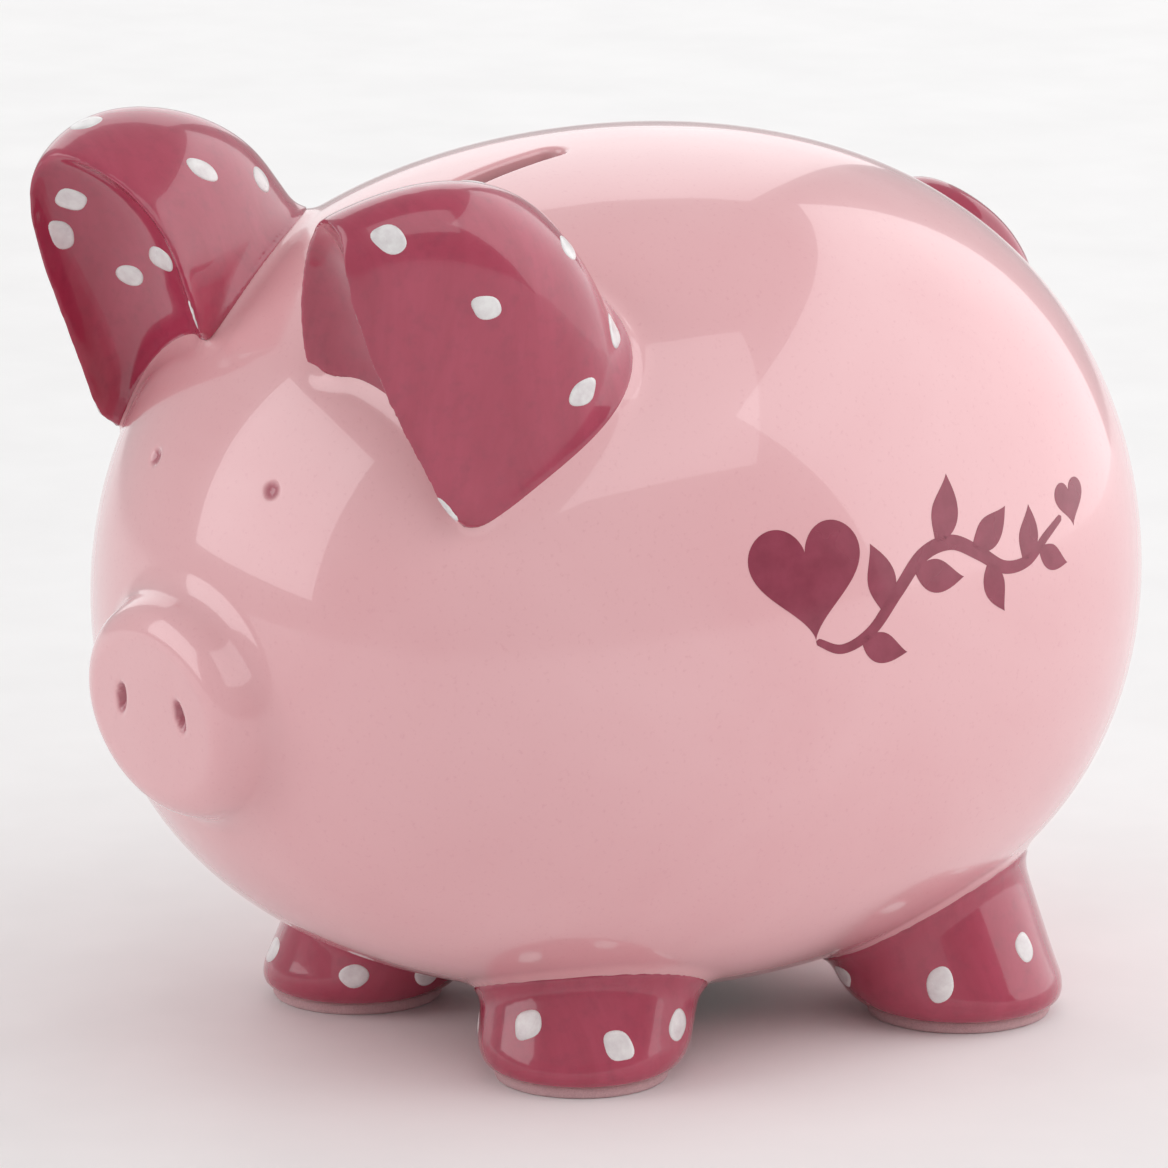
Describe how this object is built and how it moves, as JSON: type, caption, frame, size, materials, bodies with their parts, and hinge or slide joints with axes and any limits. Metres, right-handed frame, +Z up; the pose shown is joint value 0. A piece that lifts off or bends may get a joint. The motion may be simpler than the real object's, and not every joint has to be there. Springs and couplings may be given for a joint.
{
  "type": "figural animal coin bank",
  "caption": "Glazed ceramic pig coin bank: hollow egg-shaped body with a coin slot in the back, cupped ears, four feet on pads, curled tail and a rubber stopper in the belly.",
  "frame": {"origin": "on the floor under the middle of the bank", "axes": "+Z up, the nose towards -Y, the pig's left side towards +X"},
  "size_m": [0.142, 0.1764, 0.1464],
  "materials": {
    "pink_glaze": "gloss",
    "rose_glaze": "gloss",
    "pad_felt": "matte",
    "stopper_rubber": "matte"
  },
  "bodies": {
    "bank": {"body_shell": "pink_glaze", "left_ear": "rose_glaze", "right_ear": "rose_glaze", "front_left_foot": "rose_glaze", "front_right_foot": "rose_glaze", "rear_left_foot": "rose_glaze", "rear_right_foot": "rose_glaze", "front_left_pad": "pad_felt", "front_right_pad": "pad_felt", "rear_left_pad": "pad_felt", "rear_right_pad": "pad_felt", "tail": "rose_glaze"},
    "stopper": {"stopper": "stopper_rubber"}
  },
  "joints": [
    {"name": "stopper_pull", "type": "slide", "parent": "bank", "child": "stopper", "axis": [0, 0, -1], "range_m": [0, 0.035]}
  ]
}
